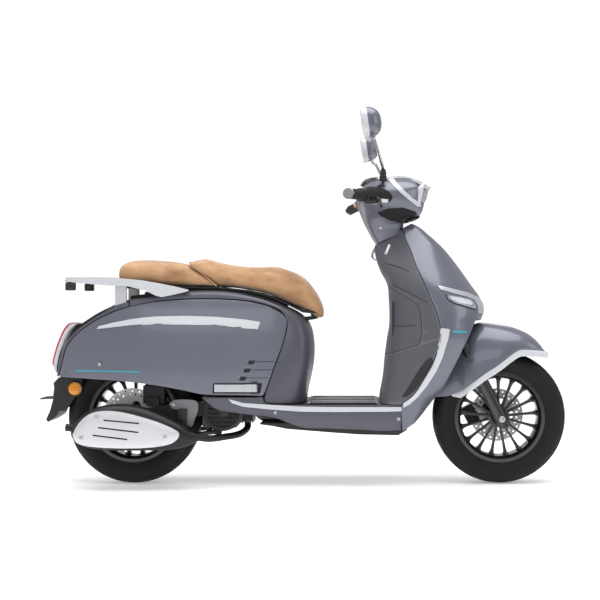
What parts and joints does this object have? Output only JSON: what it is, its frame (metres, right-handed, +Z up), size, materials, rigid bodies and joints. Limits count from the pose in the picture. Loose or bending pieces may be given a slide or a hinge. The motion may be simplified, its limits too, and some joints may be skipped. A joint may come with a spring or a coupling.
{
  "type": "moped scooter",
  "caption": "Step-through moped scooter with a grey leg shield, tan two-level seat, white grab rail, spoke-style wheels, a right-hand muffler and round-edged body panels.",
  "frame": {"origin": "on the floor, at the centre of the bounding box's base, midway between the front tyre's front and the plate bracket's rear", "axes": "+X points forwards, +Y to the rider's left, +Z up; the wheel axles lie along Y"},
  "size_m": [1.8699, 0.786, 1.289],
  "materials": {
    "body_paint": "satin paint on moulded panels",
    "inner_panel": "grained",
    "trim": "satin",
    "seat": "suede-like",
    "black_plastic": "grained",
    "frame_paint": "satin",
    "tyre": "matte",
    "rim": "satin",
    "steel": "brushed",
    "chrome": "polished",
    "alloy": "cast",
    "rubber": "matte",
    "clear_lamp": "clear",
    "red_lamp": "clear red",
    "cluster": "glossy",
    "exhaust": "heat resistant satin",
    "heat_shield": "satin",
    "mirror": "mirror"
  },
  "bodies": {
    "chassis": {"frame": "frame_paint", "front_apron": "body_paint", "inner_leg_shield": "inner_panel", "body_trims": "trim", "floor_mat": "rubber", "floor_skirts": "body_paint", "belly_pan": "black_plastic", "side_covers": "body_paint", "centre_cover": "inner_panel", "tail_cover": "body_paint", "rear_lamps": "red_lamp", "rear_mudguard": "black_plastic", "grab_rail": "trim", "storage_bucket": "black_plastic", "fuel_tank": "black_plastic", "front_lamps": "clear_lamp", "body_screws": "steel", "shock_upper": "steel", "shock_spring": "frame_paint"},
    "glovebox": {"glovebox_door": "inner_panel"},
    "cap": {"fuel_cap": "black_plastic"},
    "peg_right": {"footpeg_right": "alloy"},
    "peg_left": {"footpeg_left": "alloy"},
    "seat": {"seat_base": "black_plastic", "seat_cushion": "seat"},
    "steering": {"fork_upper": "frame_paint", "front_fender": "body_paint", "steering_trims": "trim", "handlebar": "frame_paint", "handlebar_cover": "body_paint", "headlight_lens": "clear_lamp", "instrument_cluster": "cluster", "switch_housings": "black_plastic", "left_grip": "rubber"},
    "throttle": {"throttle_grip": "rubber"},
    "lever_right": {"brake_lever_right": "alloy"},
    "lever_left": {"brake_lever_left": "alloy"},
    "mirror_right": {"mirror_head_right": "inner_panel"},
    "mirror_left": {"mirror_head_left": "inner_panel"},
    "start": {"start_button": "black_plastic"},
    "horn": {"horn_button": "black_plastic"},
    "indicator": {"indicator_switch": "black_plastic"},
    "fork_lower": {"fork_sliders": "frame_paint", "front_caliper": "alloy"},
    "front_wheel": {"front_rim": "rim", "front_tyre": "tyre", "front_disc": "steel"},
    "swing": {"engine_block": "alloy", "cvt_cover": "black_plastic", "fan_cover": "black_plastic", "muffler": "exhaust", "muffler_shield": "heat_shield", "air_box": "black_plastic", "rear_caliper": "alloy"},
    "kick": {"kick_lever": "steel"},
    "rear_wheel": {"rear_rim": "rim", "rear_tyre": "tyre", "rear_disc": "steel"},
    "shock_rod": {"shock_lower": "frame_paint"},
    "stand": {"centre_stand": "frame_paint"}
  },
  "joints": [
    {"name": "steering_turn", "type": "hinge", "parent": "chassis", "child": "steering", "pos_m": [0.321, 0, 0.887], "axis": [-0.454, 0, 0.891], "range_deg": [-40, 40]},
    {"name": "fork_travel", "type": "slide", "parent": "steering", "child": "fork_lower", "axis": [-0.454, 0, 0.891], "range_m": [-0.02, 0.05], "stiffness_N_per_m": 16000, "springref_m": 0.01213},
    {"name": "front_wheel_spin", "type": "hinge", "parent": "fork_lower", "child": "front_wheel", "pos_m": [0.69851, 0, 0.2364], "axis": [0, 1, 0], "continuous": true},
    {"name": "throttle_twist", "type": "hinge", "parent": "steering", "child": "throttle", "pos_m": [0.213, -0.18, 1.014], "axis": [-0.2734, -0.9598, -0.064], "range_deg": [0, 75], "stiffness_Nm_per_rad": 0.25},
    {"name": "brake_lever_right_pull", "type": "hinge", "parent": "steering", "child": "lever_right", "pos_m": [0.247, -0.198, 1], "axis": [0, 0, -1], "range_deg": [0, 18], "stiffness_Nm_per_rad": 3},
    {"name": "brake_lever_left_pull", "type": "hinge", "parent": "steering", "child": "lever_left", "pos_m": [0.247, 0.198, 1], "axis": [0, 0, 1], "range_deg": [0, 18], "stiffness_Nm_per_rad": 3},
    {"name": "mirror_right_turn", "type": "hinge", "parent": "steering", "child": "mirror_right", "pos_m": [0.25, -0.322, 1.2], "axis": [0, 0, 1], "range_deg": [-15, 15]},
    {"name": "mirror_left_turn", "type": "hinge", "parent": "steering", "child": "mirror_left", "pos_m": [0.25, 0.322, 1.2], "axis": [0, 0, 1], "range_deg": [-15, 15]},
    {"name": "start_press", "type": "slide", "parent": "steering", "child": "start", "axis": [1, 0, 0], "range_m": [0, 0.003], "stiffness_N_per_m": 600},
    {"name": "horn_press", "type": "slide", "parent": "steering", "child": "horn", "axis": [1, 0, 0], "range_m": [0, 0.003], "stiffness_N_per_m": 600},
    {"name": "indicator_slide", "type": "slide", "parent": "steering", "child": "indicator", "axis": [0, 1, 0], "range_m": [-0.003, 0.003]},
    {"name": "glovebox_open", "type": "hinge", "parent": "chassis", "child": "glovebox", "pos_m": [0.2935, 0, 0.4605], "axis": [0, -1, 0], "range_deg": [0, 70]},
    {"name": "fuel_cap_turn", "type": "hinge", "parent": "chassis", "child": "cap", "pos_m": [-0.545, 0, 0.665], "axis": [0, 0, 1], "range_deg": [0, 90]},
    {"name": "footpeg_right_fold", "type": "hinge", "parent": "chassis", "child": "peg_right", "pos_m": [-0.162, -0.163, 0.349], "axis": [0, 0, 1], "range_deg": [0, 80]},
    {"name": "footpeg_left_fold", "type": "hinge", "parent": "chassis", "child": "peg_left", "pos_m": [-0.162, 0.163, 0.349], "axis": [0, 0, -1], "range_deg": [0, 80]},
    {"name": "seat_lift", "type": "hinge", "parent": "chassis", "child": "seat", "pos_m": [0.044, 0, 0.592], "axis": [0, 1, 0], "range_deg": [0, 55]},
    {"name": "engine_swing", "type": "hinge", "parent": "chassis", "child": "swing", "pos_m": [-0.215, 0, 0.335], "axis": [0, 1, 0], "range_deg": [-3, 8], "stiffness_Nm_per_rad": 3000, "springref_deg": 4.56},
    {"name": "rear_wheel_spin", "type": "hinge", "parent": "swing", "child": "rear_wheel", "pos_m": [-0.602, 0, 0.2364], "axis": [0, 1, 0], "continuous": true},
    {"name": "kick_push", "type": "hinge", "parent": "swing", "child": "kick", "pos_m": [-0.43, 0.15, 0.262], "axis": [0, -1, 0], "range_deg": [0, 55], "stiffness_Nm_per_rad": 2, "springref_deg": -28.65},
    {"name": "stand_lower", "type": "hinge", "parent": "swing", "child": "stand", "pos_m": [-0.3, 0, 0.19], "axis": [0, -1, 0], "range_deg": [0, 78], "stiffness_Nm_per_rad": 2, "springref_deg": -68.75},
    {"name": "shock_travel", "type": "slide", "parent": "chassis", "child": "shock_rod", "axis": [0, 0, 1], "range_m": [-0.025, 0.055], "deforming": ["shock_spring"]}
  ],
  "couplings": [
    {"joint": "shock_travel", "follows": "engine_swing", "m_per_rad": 0.36}
  ]
}
